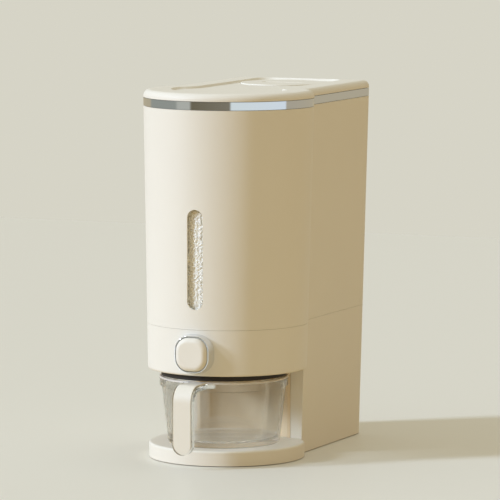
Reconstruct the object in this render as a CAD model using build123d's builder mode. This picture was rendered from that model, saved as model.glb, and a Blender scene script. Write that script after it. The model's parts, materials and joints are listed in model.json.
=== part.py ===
from build123d import *
import os
from math import atan2, cos, pi, sin, sqrt

# Rice dispenser: a grain tank with a round front and a narrower box behind, standing over an open
# bay with a measuring cup. Pressing the button slides a gate under the tank, and grain falls
# through the chute into the cup. Millimetres, +Z up, front towards -Y, origin on the table under
# the middle of the whole.

# Overall sizes
HEIGHT = 379.5  # table to the lid's border
DRUM_HALF = 89.5  # half width of the round front, at the trim
STEP_IN = 13.0  # side of the drum to the side of the box
BOX_HALF = DRUM_HALF - STEP_IN
FRONT = 92.0  # drum axis to the foremost point of the round front
BACK = 195.0  # drum axis to the rear wall
CORNER_R = 36.0  # turns the round front into the sides
CREASE_R = 3.0  # in the crease between drum and box
REAR_R = 9.0  # rear corners of the box
SIDE_LEAN = 0.029  # each side leans in by this share of the way down from the trim
WALL = 2.6  # shells
FIT = 0.3  # between pieces that slide or are put in by hand
CONTACT = 0.05  # between pieces that are fixed to each other
PARTING = 0.4  # visible lines between shells
SEAM_LINE = 0.2  # finer line between lower and upper shell

# Levels
FOOT_H = 0.8
BASE_TOP = 16.0
APRON_Z = 92.4  # underside of the round front
TRIM_H = 8.2
LID_H = 7.8
LID_Z = HEIGHT - LID_H
TRIM_TOP = LID_Z - PARTING
TRIM_Z = TRIM_TOP - TRIM_H

# Lid and hinge
LID_EDGE = 0.8  # upright part of the lid's edge
LID_ROUND = LID_H - LID_EDGE
RECESS_DEPTH = 2.2
RECESS_SET = 28.5  # width of the raised border
RECESS_DRAFT = 1.4
RECESS_REAR = 8.0  # border behind the recess
RECESS_REAR_R = 16.0
LINER_T = 1.6
PLUG_DEPTH = 13.0
PLUG_WALL = 2.4
PLUG_GAP = 1.2
LIP_T = 1.6  # skirt of the trim inside the tank
LIP_DEPTH = 10.0
SEAL_H = 4.0
SEAL_DEPTH = 1.4
SEAL_GAP = 0.4
KNUCKLE_R = 4.0
HINGE_GAP = 1.0  # rear wall to the knuckle
HINGE_SET = KNUCKLE_R + HINGE_GAP
KNUCKLE_W = 12.0
LID_KNUCKLE_W = 39.0
PIN_R = 1.5
PIN_FIT = 0.05
LUG_H = 26.0

# Desiccant cap in the lid
CAP_IN = 63.0  # rear wall to the cap's axis
CAP_R = 43.8
CAP_PROUD = 1.2
CAP_SUNK = 1.8
CAP_SKIRT = 5.0
CAP_LAP = 5.8  # edge of the cap beyond the basket
BASKET_R = CAP_R - CAP_LAP
BASKET_T = 1.5
BASKET_DEPTH = 18.0
BASKET_FLANGE = 4.0
VENT_W = 2.4
VENT_PITCH = 7.0
VENTS = 7
GRIP_SLOT = (46.0, 7.0, 1.4)

# Measuring cup
CUP_IN = 72.7  # front of the drum to the cup's axis
CUP_RIM_R = 66.3
CUP_FOOT_R = 57.5
RIM_GAP = 6.9  # rim to the apron
CUP_RIM_Z = APRON_Z - RIM_GAP
CUP_WALL = 2.4
COLLAR_H = 8.0  # thick band below the rim
COLLAR_OUT = 2.0
CUP_FLOOR = 5.0
CUP_FOOT_ROUND = 9.0
CUP_RIM_ROUND = 1.0
GRIP_OUT = 32.0  # front of the drum to the front of the grip
STRAP_W = 22.6
STRAP_T = 5.0
STRAP_FLARE = 19.0  # half width where the strap meets the rim
STRAP_BEND = 16.0
STRAP_LOW = 15.0
ARM_DROP = 1.0  # rim to the top of the arm
INLAY_W = 19.0
INLAY_T = 2.2
INLAY_PROUD = 0.8

# Bay
NICHE_GAP = 3.7
NICHE_R = CUP_RIM_R + NICHE_GAP
LINER_WALL = 2.5
CEILING_STEP = 0.8
CEILING_Z = APRON_Z + CEILING_STEP
CEILING_T = 2.5
APRON_ROUND = 2.0
GUARD_IN = 1.8  # outside of the rim to the outside of the guard ring
GUARD_T = 2.2
GUARD_GAP = 1.1  # rim to the guard ring
BASE_ROUND = 2.0
BASE_DECK = 3.5
BASE_WALL = 3.0
NECK_HALF = 44.0

# Button
BEZEL = 37.4  # width at its front
BEZEL_R = 15.2
BEZEL_SKIRT = 41.6  # width at the apron
BEZEL_RING = 0.9
BEZEL_PROUD = 8.5
BEZEL_FLANGE = 2.4
BEZEL_FLANGE_T = 2.0
BEZEL_FLANGE_H = 24.0
BEZEL_CLEAR = 0.9  # ceiling to the bezel
BUTTON_Z = CEILING_Z + CEILING_T + BEZEL_CLEAR + BEZEL / 2
SEAM_CLEAR = 5.5  # bezel to the seam
SEAM_Z = BUTTON_Z + BEZEL / 2 + SEAM_CLEAR  # line between the shells
BEZEL_ROUND = 0.5
CAP_GAP = 0.5  # bezel to button cap
CAP_FRONT = 4.0  # button cap stands proud of the bezel
CAP_LENGTH = 17.0
CAP_FACE_T = 5.0
CAP_WALL = 2.2
CAP_ROUND = 5.5
ROD_R = 4.0
ROD_SOCKET = 6.0
BOSS_WALL = 2.0

# Window
WINDOW_RISE = 20.5  # seam to the window
WINDOW_L = 102.0
WINDOW_Z = SEAM_Z + WINDOW_RISE + WINDOW_L / 2
WINDOW_W = 17.5
LENS_FLANGE = 4.0
LENS_T = 2.0
GASKET_T = 0.8
LENS_SET = 1.4  # outside of the shell to the face of the lens

# Gate and funnel
OUTLET_W = 44.0
OUTLET_L = 10.0
GATE_T = 2.5
TRAVEL = OUTLET_L
GATE_LAP = 6.0
GATE_HALF = OUTLET_W / 2 + GATE_LAP
GATE_FIT = 0.4
RAIL_W = 6.0
HOUSING_FLOOR = 2.5
HOUSING_HALF_L = 30.0
FRONT_WALL = 3.0
SPRING_WALL = (44.0, 15.0)
TONGUE_HALF = 8.0
TAB = (44.0, 3.0, 18.0)
COLLAR_T = 2.4
SHEET_T = 2.5
REAR_UP = 75.5  # seam to where the rear slope meets the rear wall
FRONT_UP = 12.5  # seam to where front and side slopes meet the walls
REAR_RISE = SEAM_Z + REAR_UP
FRONT_RISE = SEAM_Z + FRONT_UP
CHUTE_WALL = 2.0
CHUTE_FLANGE = 4.0
CHUTE_MOUTH = (38.0, 22.0)
CHUTE_DROP = 1.4
CHUTE_LOW = APRON_Z - CHUTE_DROP

# Springs
SPRING_X = 15.0
SPRING_L = 22.0
SPRING_R = 3.4  # to the middle of the wire
WIRE_R = 0.5
SPRING_TURNS = 6
SPRING_PIN_R = 2.0
SPRING_PIN_L = 9.0

# Feet and screws
FOOT_R = 9.0
FOOT_SEAT = 1.2
FOOT_IN = 20.0  # side of the box to the axes of feet and screws
FOOT_FRONT = 40.0  # front of the drum to the front feet
FOOT_REAR = 26.0  # rear wall to the rear feet
SCREW_REAR = (103.0, 51.0)  # rear wall to the screws
SCREW_R = 1.9
SCREW_HEAD_R = 3.6
SCREW_HEAD_H = 2.4
SCREW_L = 30.0
SCREW_DEEP = 5.0  # table to the underside of a screw's head
BOSS_R = 5.5
BOSS_H = 30.0

# Places along Y, from the drum's axis
GRIP_REACH = FRONT + GRIP_OUT
DRUM_Y = (GRIP_REACH - BACK - HINGE_SET - KNUCKLE_R) / 2
FRONT_Y = DRUM_Y - FRONT
BACK_Y = DRUM_Y + BACK
CUP_Y = FRONT_Y + CUP_IN
CAP_Y = BACK_Y - CAP_IN
HINGE_Y = BACK_Y + HINGE_SET
CREASE_X = CORNER_R - STEP_IN  # corner centre to the box's side
CREASE_Y = sqrt((CORNER_R + CREASE_R) ** 2 - (CREASE_X + CREASE_R) ** 2)
CREASE_ANGLE = atan2(CREASE_Y, CREASE_X + CREASE_R)
POST_Y = DRUM_Y + CREASE_Y + PARTING

os.makedirs("parts", exist_ok=True)


def at_level(size, level):
    """Half width at a level, from the half width at the trim."""
    return size - SIDE_LEAN * (TRIM_TOP - level)


def outline(level, inset=0.0, rear_inset=None, rear_r=None):
    """Plan of drum and box at a level, drawn inset inside the outer skin, at the rear by its own."""
    corner_x = at_level(DRUM_HALF, level) - CORNER_R
    front_r = (FRONT**2 + corner_x**2 - CORNER_R**2) / (2 * (FRONT - CORNER_R))
    start = atan2(FRONT - front_r, corner_x)
    corner_r = CORNER_R - inset
    crease_r = CREASE_R + inset
    side = at_level(BOX_HALF, level) - inset

    def corner(angle, sign):
        return (sign * (corner_x + corner_r * cos(angle)), DRUM_Y + corner_r * sin(angle))

    def crease(angle, sign):
        centre_x = corner_x + CREASE_X + CREASE_R
        return (sign * (centre_x - crease_r * cos(angle)), DRUM_Y + CREASE_Y - crease_r * sin(angle))

    def front(angle, sign):
        reach = front_r - inset
        return (sign * reach * cos(angle), FRONT_Y + front_r + reach * sin(angle))

    apex = (0, FRONT_Y + inset)
    rear = BACK_Y - (inset if rear_inset is None else rear_inset)
    with BuildSketch(Plane.XY.offset(level)) as section:
        with BuildLine():
            for sign in (1, -1):
                ThreePointArc(apex, front((start - pi / 2) / 2, sign), corner(start, sign))
                ThreePointArc(
                    corner(start, sign),
                    corner((start + CREASE_ANGLE) / 2, sign),
                    corner(CREASE_ANGLE, sign),
                )
                ThreePointArc(
                    corner(CREASE_ANGLE, sign),
                    crease(CREASE_ANGLE / 2, sign),
                    crease(0, sign),
                )
                Line(crease(0, sign), (sign * side, rear))
            Line((side, rear), (-side, rear))
        make_face()
        radius = REAR_R - inset if rear_r is None else rear_r
        fillet(section.vertices().group_by(Axis.Y)[-1], radius)
    return section.sketch


def column(level, inset=0.0):
    """Plan of the column behind the bay at a level."""
    half = at_level(BOX_HALF, level) - inset
    front = POST_Y + inset
    rear = BACK_Y - inset
    with BuildSketch(Plane.XY.offset(level)) as section:
        with Locations((0, (front + rear) / 2)):
            Rectangle(2 * half, rear - front)
        fillet(section.vertices().group_by(Axis.Y)[-1], REAR_R - inset)
    return section.sketch


def block(low, high, inset=0.0, plan=outline, mode=Mode.ADD):
    """Leaning block between two levels of a plan."""
    loft([plan(low, inset), plan(high, inset)], ruled=True, mode=mode)


def rounded_block(low, high, radius, at_top, bands=4):
    """Leaning block whose top or bottom edge is rounded in narrow bands."""
    sections = []
    for band in range(bands + 1):
        turn = pi / 2 * band / bands
        drop = radius * (1 - sin(turn))
        inset = radius * (1 - cos(turn))
        sections.append(outline(high - drop if at_top else low + drop, inset))
    sections.insert(0, outline(low if at_top else high))
    loft(sections, ruled=True)


def front_plane(y, z):
    """Plane seen from the front, with its first axis to +X and its second up."""
    return Plane(origin=(0, y, z), x_dir=(1, 0, 0), z_dir=(0, -1, 0))


def side_plane(x):
    """Plane across X, with its first axis to +Y and its second up."""
    return Plane(origin=(x, 0, 0), x_dir=(0, 1, 0), z_dir=(1, 0, 0))


def finish(builder, name):
    """Label a finished piece and write it."""
    builder.part.label = name
    export_step(builder.part, f"parts/{name}.step")


# Base tray: the round foot under the cup, with a neck into the column, hollow from below
foot_x = at_level(BOX_HALF, FOOT_H) - FOOT_IN
foot_rows = (FRONT_Y + FOOT_FRONT, BACK_Y - FOOT_REAR)
foot_places = [(sign * foot_x, y) for sign in (1, -1) for y in foot_rows]
screw_places = [(sign * foot_x, BACK_Y - y) for sign in (1, -1) for y in SCREW_REAR]
with BuildPart() as base_tray:
    rounded_block(FOOT_H, BASE_TOP, BASE_ROUND, at_top=True)
    with BuildSketch(Plane.XY.offset(FOOT_H)):
        with Locations((0, POST_Y - PARTING)):
            Rectangle(4 * DRUM_HALF, 4 * BACK, align=(Align.CENTER, Align.MIN))
    extrude(amount=BASE_TOP, mode=Mode.SUBTRACT)
    block(FOOT_H, BASE_TOP, WALL + FIT, plan=column)
    with BuildSketch(Plane.XY.offset(FOOT_H)):
        with Locations((0, POST_Y)):
            Rectangle(2 * NECK_HALF, 4 * WALL)
    extrude(amount=BASE_TOP - FOOT_H)
    block(FOOT_H, BASE_TOP - BASE_DECK, WALL + FIT + BASE_WALL, mode=Mode.SUBTRACT)
    with BuildSketch(Plane.XY.offset(FOOT_H)):
        with Locations(*foot_places):
            Circle(FOOT_R + BASE_WALL)
        with Locations(*screw_places):
            Circle(SCREW_HEAD_R + BASE_WALL)
    extrude(amount=BASE_TOP - BASE_DECK - FOOT_H)
    with BuildSketch(Plane.XY.offset(FOOT_H)):
        with Locations(*foot_places):
            Circle(FOOT_R + FIT)
    extrude(amount=FOOT_SEAT, mode=Mode.SUBTRACT)
    with BuildSketch(Plane.XY.offset(FOOT_H)):
        with Locations(*screw_places):
            Circle(SCREW_HEAD_R + FIT)
    extrude(amount=SCREW_DEEP + SCREW_HEAD_H - FOOT_H, mode=Mode.SUBTRACT)
    with BuildSketch(Plane.XY.offset(FOOT_H)):
        with Locations(*screw_places):
            Circle(SCREW_R + FIT)
    extrude(amount=BASE_TOP, mode=Mode.SUBTRACT)
finish(base_tray, "base_tray")

with BuildPart() as base_feet:
    with BuildSketch():
        with Locations(*foot_places):
            Circle(FOOT_R)
    extrude(amount=FOOT_H + FOOT_SEAT - CONTACT)
    fillet(base_feet.edges().group_by(Axis.Z)[0], FOOT_H / 4)
finish(base_feet, "base_feet")

with BuildPart() as base_screws:
    with BuildSketch(Plane.XY.offset(SCREW_DEEP)):
        with Locations(*screw_places):
            Circle(SCREW_HEAD_R)
    extrude(amount=SCREW_HEAD_H - CONTACT)
    with BuildSketch(Plane.XY.offset(SCREW_DEEP)):
        with Locations(*screw_places):
            Circle(SCREW_R)
    extrude(amount=SCREW_L)
    with BuildSketch(Plane.XY.offset(SCREW_DEEP)):
        with Locations(*screw_places):
            Rectangle(SCREW_HEAD_R, SCREW_HEAD_R / 4)
            Rectangle(SCREW_HEAD_R / 4, SCREW_HEAD_R)
    extrude(amount=SCREW_HEAD_H / 2, mode=Mode.SUBTRACT)
finish(base_screws, "base_screws")

# Lower shell: apron over the bay and the column's walls, open to the tank above
with BuildPart() as lower_shell:
    rounded_block(APRON_Z, SEAM_Z, APRON_ROUND, at_top=False)
    block(FOOT_H, SEAM_Z, plan=column)
    block(APRON_Z, SEAM_Z, WALL, mode=Mode.SUBTRACT)
    block(FOOT_H, APRON_Z + WALL, WALL, plan=column, mode=Mode.SUBTRACT)
    with BuildSketch(Plane.XY.offset(FOOT_H)):
        with Locations((0, CUP_Y)):
            Circle(NICHE_R + LINER_WALL + FIT)
    extrude(amount=APRON_Z - FOOT_H, mode=Mode.SUBTRACT)
    with BuildSketch(front_plane(FRONT_Y + BEZEL / 2, BUTTON_Z)):
        RectangleRounded(BEZEL + 2 * FIT, BEZEL + 2 * FIT, BEZEL_R + FIT)
    extrude(amount=BEZEL, mode=Mode.SUBTRACT)
    with BuildSketch(Plane.XY.offset(BASE_TOP + CONTACT)):
        with Locations(*screw_places):
            Circle(BOSS_R)
        for x, y in screw_places:
            reach = at_level(BOX_HALF, BASE_TOP) - WALL / 2 - abs(x)
            with Locations((x + reach / 2 * x / abs(x), y)):
                Rectangle(reach, WALL)
    extrude(amount=BOSS_H)
    with BuildSketch(Plane.XY.offset(BASE_TOP)):
        with Locations(*screw_places):
            Circle(SCREW_R + CONTACT)
    extrude(amount=BOSS_H, mode=Mode.SUBTRACT)
finish(lower_shell, "lower_shell")

# Outlet chute from the gate to just under the ceiling
gate_z = BUTTON_Z - GATE_T / 2
floor_z = gate_z - GATE_FIT
collar_z = gate_z + GATE_T + GATE_FIT
chute_top = floor_z - HOUSING_FLOOR - CONTACT


def chute_section(level, spread):
    """Rectangle of the chute at a level, spread beyond its inside."""
    share = (chute_top - level) / (chute_top - CHUTE_LOW)
    width = OUTLET_W + 2 * GATE_FIT + share * (CHUTE_MOUTH[0] - OUTLET_W)
    length = OUTLET_L + 2 * GATE_FIT + share * (CHUTE_MOUTH[1] - OUTLET_L)
    with BuildSketch(Plane.XY.offset(level)) as section:
        with Locations((0, CUP_Y)):
            Rectangle(width + 2 * spread, length + 2 * spread)
    return section.sketch


with BuildPart() as chute:
    loft([chute_section(CHUTE_LOW, CHUTE_WALL), chute_section(chute_top, CHUTE_WALL)], ruled=True)
    extrude(chute_section(chute_top, CHUTE_WALL + CHUTE_FLANGE), amount=-CHUTE_WALL)
    loft([chute_section(CHUTE_LOW, 0), chute_section(chute_top, 0)], ruled=True, mode=Mode.SUBTRACT)
finish(chute, "chute")

# Bay liner: round wall behind the cup and the ceiling over it
with BuildPart() as bay_liner:
    block(CEILING_Z, CEILING_Z + CEILING_T, WALL + FIT)
    with BuildSketch(Plane.XY.offset(CEILING_Z)) as kept:
        with Locations((0, POST_Y)):
            Rectangle(4 * DRUM_HALF, 4 * FRONT, align=(Align.CENTER, Align.MAX))
        with Locations((0, CUP_Y)):
            Circle(NICHE_R + LINER_WALL)
    extrude(amount=CEILING_T, mode=Mode.INTERSECT)
    with BuildSketch(Plane.XY.offset(BASE_TOP + CONTACT)) as wall:
        with Locations((0, CUP_Y)):
            Circle(NICHE_R + LINER_WALL)
            Circle(NICHE_R, mode=Mode.SUBTRACT)
        with Locations((0, POST_Y)):
            Rectangle(4 * DRUM_HALF, 4 * FRONT, align=(Align.CENTER, Align.MAX), mode=Mode.SUBTRACT)
    extrude(amount=CEILING_Z + CEILING_T - BASE_TOP - CONTACT)
    extrude(chute_section(CEILING_Z, CHUTE_WALL + 2 * FIT), amount=CEILING_T, both=True, mode=Mode.SUBTRACT)
finish(bay_liner, "bay_liner")

# Guard ring: dark rubber under the ceiling, just above the rim of the cup
with BuildPart() as spill_guard:
    with BuildSketch(Plane.XY.offset(CUP_RIM_Z + GUARD_GAP)):
        with Locations((0, CUP_Y)):
            Circle(CUP_RIM_R - GUARD_IN)
            Circle(CUP_RIM_R - GUARD_IN - GUARD_T, mode=Mode.SUBTRACT)
    extrude(amount=CEILING_Z - CONTACT - CUP_RIM_Z - GUARD_GAP)
finish(spill_guard, "spill_guard")

# Upper shell: the grain tank, with its window slot and the hinge lugs moulded on its back
hinge_z = LID_Z
lug_out = HINGE_Y + KNUCKLE_R
with BuildPart() as upper_shell:
    block(SEAM_Z + SEAM_LINE, TRIM_Z - PARTING)
    block(SEAM_Z + SEAM_LINE, TRIM_Z - PARTING, WALL, mode=Mode.SUBTRACT)
    with BuildSketch(front_plane(FRONT_Y + WINDOW_W, WINDOW_Z)):
        SlotOverall(WINDOW_L, WINDOW_W, rotation=90)
    extrude(amount=2 * WINDOW_W, mode=Mode.SUBTRACT)
    for sign in (1, -1):
        inner = LID_KNUCKLE_W / 2 + PARTING
        with BuildSketch(side_plane(sign * inner)):
            with BuildLine():
                Polyline(
                    (BACK_Y - WALL / 2, hinge_z - LUG_H),
                    (lug_out, hinge_z - LUG_H + HINGE_SET + KNUCKLE_R),
                    (lug_out, hinge_z),
                    (HINGE_Y - KNUCKLE_R, hinge_z),
                    (HINGE_Y - KNUCKLE_R, TRIM_Z - 2 * PARTING),
                    (BACK_Y - WALL / 2, TRIM_Z - 2 * PARTING),
                    close=True,
                )
            make_face()
            with Locations((HINGE_Y, hinge_z)):
                Circle(KNUCKLE_R)
        extrude(amount=sign * KNUCKLE_W)
    with BuildSketch(side_plane(0)):
        with Locations((HINGE_Y, hinge_z)):
            Circle(PIN_R + PIN_FIT)
    extrude(amount=LID_KNUCKLE_W + KNUCKLE_W, both=True, mode=Mode.SUBTRACT)
finish(upper_shell, "upper_shell")

with BuildPart() as hinge_pin:
    with BuildSketch(side_plane(0)):
        with Locations((HINGE_Y, hinge_z)):
            Circle(PIN_R)
    extrude(amount=LID_KNUCKLE_W / 2 + PARTING + KNUCKLE_W, both=True)
finish(hinge_pin, "hinge_pin")

# Window: a stepped clear lens in the slot, on a gasket behind the shell
lens_low = WINDOW_Z - WINDOW_L / 2 - 2 * LENS_FLANGE
lens_high = WINDOW_Z + WINDOW_L / 2 + 2 * LENS_FLANGE


def window_slot(spread):
    """Face of the window slot, spread on all sides, behind the front wall."""
    with BuildSketch(front_plane(FRONT_Y + 2 * WINDOW_W, WINDOW_Z)) as slot:
        SlotOverall(WINDOW_L + 2 * spread, WINDOW_W + 2 * spread, rotation=90)
    return slot.sketch


with BuildPart() as lens_flange:
    block(lens_low, lens_high, WALL + GASKET_T + CONTACT)
    block(lens_low, lens_high, WALL + GASKET_T + LENS_T, mode=Mode.SUBTRACT)
    extrude(window_slot(LENS_FLANGE), amount=2 * WINDOW_W, mode=Mode.INTERSECT)
with BuildPart() as window_lens:
    block(lens_low, lens_high, LENS_SET)
    block(lens_low, lens_high, WALL + GASKET_T + LENS_T, mode=Mode.SUBTRACT)
    extrude(window_slot(-FIT), amount=2 * WINDOW_W, mode=Mode.INTERSECT)
    add(lens_flange.part)
finish(window_lens, "window_lens")

with BuildPart() as window_gasket:
    block(lens_low, lens_high, WALL + CONTACT)
    block(lens_low, lens_high, WALL + GASKET_T, mode=Mode.SUBTRACT)
    extrude(window_slot(LENS_FLANGE), amount=2 * WINDOW_W, mode=Mode.INTERSECT)
    extrude(window_slot(0), amount=2 * WINDOW_W, mode=Mode.SUBTRACT)
finish(window_gasket, "window_gasket")

# Trim ring: chrome band with a skirt inside the tank
lip_in = WALL + FIT + LIP_T
with BuildPart() as trim_ring:
    block(TRIM_Z, TRIM_TOP)
    block(TRIM_Z - LIP_DEPTH, TRIM_Z, WALL + FIT)
    block(TRIM_Z - LIP_DEPTH, TRIM_TOP, lip_in, mode=Mode.SUBTRACT)
finish(trim_ring, "trim_ring")

# Lid cover: rounded edge, raised border, seat for the desiccant cap, knuckle at the rear
recess_z = HEIGHT - RECESS_DEPTH
above = HEIGHT + RECESS_DEPTH
seat_z = recess_z - CAP_SUNK - CONTACT
with BuildPart() as lid_cover:
    rounded_block(LID_Z, HEIGHT, LID_ROUND, at_top=True, bands=6)
    loft(
        [
            outline(recess_z, RECESS_SET + RECESS_DRAFT, RECESS_REAR + RECESS_DRAFT, RECESS_REAR_R),
            outline(above, RECESS_SET - RECESS_DRAFT, RECESS_REAR - RECESS_DRAFT, RECESS_REAR_R),
        ],
        ruled=True,
        mode=Mode.SUBTRACT,
    )
    block(LID_Z, LID_Z + LINER_T, WALL + FIT, mode=Mode.SUBTRACT)
    with BuildSketch(Plane.XY.offset(seat_z)):
        with Locations((0, CAP_Y)):
            Circle(CAP_R + FIT)
    extrude(amount=RECESS_DEPTH + CAP_SUNK, mode=Mode.SUBTRACT)
    with BuildSketch(Plane.XY.offset(LID_Z)):
        with Locations((0, CAP_Y)):
            Circle(BASKET_R + FIT)
    extrude(amount=LID_H, mode=Mode.SUBTRACT)
    with BuildSketch(side_plane(0)):
        with Locations((HINGE_Y, hinge_z)):
            Circle(KNUCKLE_R)
        with Locations((HINGE_Y, hinge_z)):
            Rectangle(HINGE_SET + WALL, KNUCKLE_R, align=(Align.MAX, Align.MIN))
    extrude(amount=LID_KNUCKLE_W / 2, both=True)
    with BuildSketch(side_plane(0)):
        with Locations((HINGE_Y, hinge_z)):
            Circle(PIN_R + PIN_FIT)
    extrude(amount=LID_KNUCKLE_W, both=True, mode=Mode.SUBTRACT)
finish(lid_cover, "lid_cover")

# Lid liner: panel under the cover with a plug that enters the trim, and the seal in its groove
plug_in = lip_in + PLUG_GAP
seal_z = LID_Z - PLUG_DEPTH / 2 - SEAL_H / 2
with BuildPart() as groove:
    block(seal_z, seal_z + SEAL_H, plug_in - PLUG_GAP)
    block(seal_z, seal_z + SEAL_H, plug_in + SEAL_DEPTH, mode=Mode.SUBTRACT)
with BuildPart() as lid_liner:
    block(LID_Z, LID_Z + LINER_T - CONTACT, WALL + 2 * FIT)
    block(LID_Z - PLUG_DEPTH, LID_Z, plug_in)
    block(LID_Z - PLUG_DEPTH, LID_Z, plug_in + PLUG_WALL, mode=Mode.SUBTRACT)
    add(groove.part, mode=Mode.SUBTRACT)
    with BuildSketch(Plane.XY.offset(LID_Z)):
        with Locations((0, CAP_Y)):
            Circle(BASKET_R + FIT)
    extrude(amount=LINER_T, mode=Mode.SUBTRACT)
finish(lid_liner, "lid_liner")

with BuildPart() as lid_seal:
    block(seal_z + CONTACT, seal_z + SEAL_H - CONTACT, lip_in + SEAL_GAP)
    block(seal_z, seal_z + SEAL_H, plug_in + SEAL_DEPTH - CONTACT, mode=Mode.SUBTRACT)
finish(lid_seal, "lid_seal")

# Desiccant basket under the lid, slotted in its floor, and the turning cap over it
basket_low = seat_z - BASKET_DEPTH
with BuildPart() as desiccant_basket:
    with BuildSketch(Plane.XY.offset(basket_low)):
        with Locations((0, CAP_Y)):
            Circle(BASKET_R)
    extrude(amount=BASKET_DEPTH - CONTACT)
    with BuildSketch(Plane.XY.offset(LID_Z - CONTACT)):
        with Locations((0, CAP_Y)):
            Circle(BASKET_R + BASKET_FLANGE)
    extrude(amount=-BASKET_T)
    with BuildSketch(Plane.XY.offset(basket_low + BASKET_T)):
        with Locations((0, CAP_Y)):
            Circle(BASKET_R - BASKET_T)
    extrude(amount=BASKET_DEPTH, mode=Mode.SUBTRACT)
    with BuildSketch(Plane.XY.offset(basket_low)):
        with Locations((0, CAP_Y)):
            with GridLocations(VENT_PITCH, 1, VENTS, 1):
                SlotOverall(BASKET_R, VENT_W, rotation=90)
    extrude(amount=BASKET_T, mode=Mode.SUBTRACT)
finish(desiccant_basket, "desiccant_basket")

with BuildPart() as desiccant_cap:
    with BuildSketch(Plane.XY.offset(seat_z + CONTACT)):
        with Locations((0, CAP_Y)):
            Circle(CAP_R)
    extrude(amount=CAP_SUNK + CAP_PROUD)
    fillet(desiccant_cap.edges().group_by(Axis.Z)[-1], CAP_PROUD / 2)
    with BuildSketch(Plane.XY.offset(seat_z + CONTACT)):
        with Locations((0, CAP_Y)):
            Circle(BASKET_R - BASKET_T - FIT)
            Circle(BASKET_R - 2 * BASKET_T - FIT, mode=Mode.SUBTRACT)
    extrude(amount=-CAP_SKIRT)
    with BuildSketch(Plane.XY.offset(recess_z + CAP_PROUD)):
        with Locations((0, CAP_Y)):
            SlotOverall(GRIP_SLOT[0], GRIP_SLOT[1])
    extrude(amount=-GRIP_SLOT[2], mode=Mode.SUBTRACT)
finish(desiccant_cap, "desiccant_cap")

# Hopper funnel: four slopes down to the outlet, on a collar that roofs the gate
hopper_z = collar_z + COLLAR_T


def hopper_section(level, drop):
    """Rectangle of the slopes at a level, for slopes that lie a little lower."""
    rise = level + drop - hopper_z
    out_front = CUP_Y - OUTLET_L / 2
    out_rear = CUP_Y + OUTLET_L / 2
    front = out_front - (out_front - FRONT_Y) * rise / (FRONT_RISE - hopper_z)
    rear = out_rear + (BACK_Y - out_rear) * rise / (REAR_RISE - hopper_z)
    half = OUTLET_W / 2 + (DRUM_HALF - OUTLET_W / 2) * rise / (FRONT_RISE - hopper_z)
    with BuildSketch(Plane.XY.offset(level)) as section:
        with Locations((0, (front + rear) / 2)):
            Rectangle(2 * half, rear - front)
    return section.sketch


with BuildPart() as hopper_funnel:
    block(collar_z, REAR_RISE, WALL + GATE_FIT)
    loft(
        [hopper_section(hopper_z - SHEET_T, SHEET_T), hopper_section(REAR_RISE, SHEET_T)],
        ruled=True,
        mode=Mode.INTERSECT,
    )
    with BuildSketch(Plane.XY.offset(collar_z)):
        with Locations((0, CUP_Y)):
            Rectangle(2 * (GATE_HALF + RAIL_W), 2 * HOUSING_HALF_L)
    extrude(amount=COLLAR_T)
    loft(
        [hopper_section(hopper_z, 0), hopper_section(REAR_RISE + SHEET_T, 0)],
        ruled=True,
        mode=Mode.SUBTRACT,
    )
    with BuildSketch(Plane.XY.offset(collar_z - COLLAR_T)):
        with Locations((0, CUP_Y)):
            Rectangle(OUTLET_W, OUTLET_L)
    extrude(amount=3 * COLLAR_T, mode=Mode.SUBTRACT)
finish(hopper_funnel, "hopper_funnel")

# Gate housing: channel under the collar, with a front wall that carries the spring pins
housing_front = CUP_Y - HOUSING_HALF_L
wall_front = housing_front - FRONT_WALL
with BuildPart() as gate_housing:
    with BuildSketch(Plane.XY.offset(floor_z - HOUSING_FLOOR)):
        with Locations((0, CUP_Y)):
            Rectangle(2 * (GATE_HALF + RAIL_W), 2 * HOUSING_HALF_L)
    extrude(amount=collar_z - CONTACT - floor_z + HOUSING_FLOOR)
    with BuildSketch(Plane.XY.offset(floor_z)):
        with Locations((0, CUP_Y)):
            Rectangle(2 * (GATE_HALF + FIT), 2 * HOUSING_HALF_L)
    extrude(amount=collar_z - floor_z, mode=Mode.SUBTRACT)
    with BuildSketch(front_plane(housing_front, BUTTON_Z)):
        Rectangle(*SPRING_WALL)
    extrude(amount=FRONT_WALL)
    with BuildSketch(front_plane(wall_front, BUTTON_Z)):
        with Locations((SPRING_X, 0), (-SPRING_X, 0)):
            Circle(SPRING_PIN_R)
    extrude(amount=SPRING_PIN_L)
    with BuildSketch(front_plane(housing_front, BUTTON_Z)):
        Rectangle(2 * (TONGUE_HALF + FIT), GATE_T + 2 * GATE_FIT)
    extrude(amount=FRONT_WALL, mode=Mode.SUBTRACT)
    with BuildSketch(Plane.XY.offset(floor_z - HOUSING_FLOOR)):
        with Locations((0, CUP_Y)):
            Rectangle(OUTLET_W + 2 * GATE_FIT, OUTLET_L + 2 * GATE_FIT)
    extrude(amount=HOUSING_FLOOR, mode=Mode.SUBTRACT)
finish(gate_housing, "gate_housing")

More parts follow.
